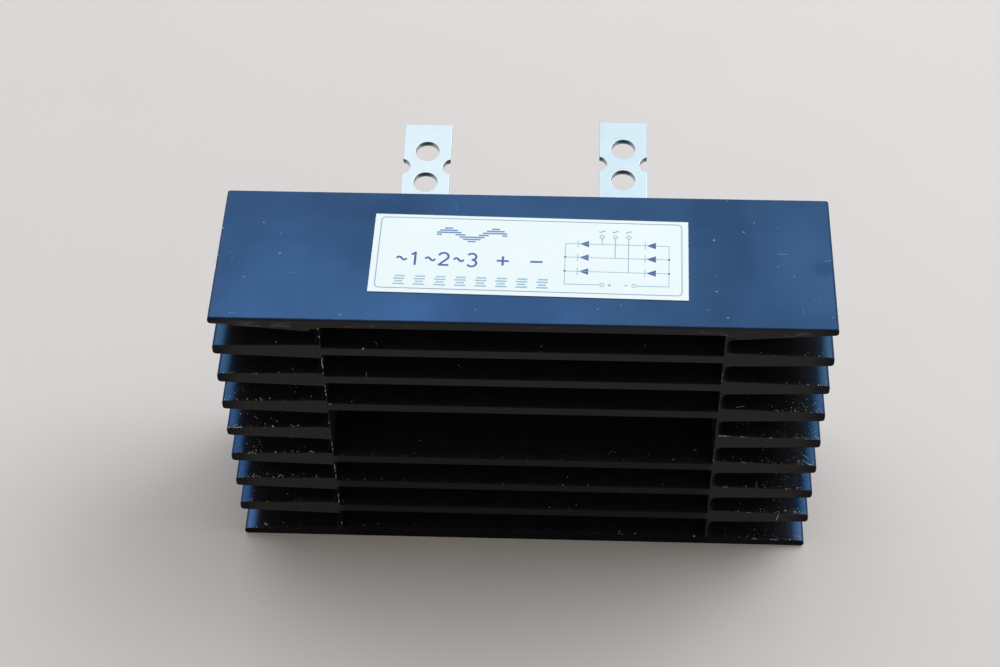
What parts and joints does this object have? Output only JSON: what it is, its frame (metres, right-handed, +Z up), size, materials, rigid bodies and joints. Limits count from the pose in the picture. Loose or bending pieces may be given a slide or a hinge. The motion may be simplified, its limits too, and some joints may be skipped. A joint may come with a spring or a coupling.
{
  "type": "bridge rectifier",
  "caption": "Three-phase bridge rectifier block: finned black heat sink with a rectifier stack potted into its back and flat two-hole terminals in two rows.",
  "frame": {"origin": "middle of the heat sink's bottom face, on the surface that the block stands on", "axes": "+X to the right across the fins, +Y to the back, where the terminals leave, +Z up"},
  "size_m": [0.125, 0.0617, 0.0745],
  "materials": {
    "anodised_aluminium": "black anodised, saw-cut end faces matt",
    "label_vinyl": "white gloss vinyl with blue print",
    "tin_plate": "bright tin-plated brass strip",
    "epoxy": "cast black epoxy, satin",
    "copper": "plain copper strip",
    "alumina": "white alumina plate",
    "silicon": "passivated diode pellet with solder discs"
  },
  "bodies": {
    "root": {"heat_sink": "anodised_aluminium", "rating_label": "label_vinyl", "base_plate": "anodised_aluminium", "potting": "epoxy", "terminal_positive": "tin_plate", "terminal_negative": "tin_plate", "terminal_ac_1": "tin_plate", "terminal_ac_2": "tin_plate", "terminal_ac_3": "tin_plate", "positive_bus": "copper", "negative_bus": "copper", "ac_plate_1": "copper", "ac_plate_2": "copper", "ac_plate_3": "copper", "insulator_1": "alumina", "insulator_2": "alumina", "insulator_3": "alumina", "diode_1": "silicon", "diode_2": "silicon", "diode_3": "silicon", "diode_4": "silicon", "diode_5": "silicon", "diode_6": "silicon"}
  },
  "joints": []
}
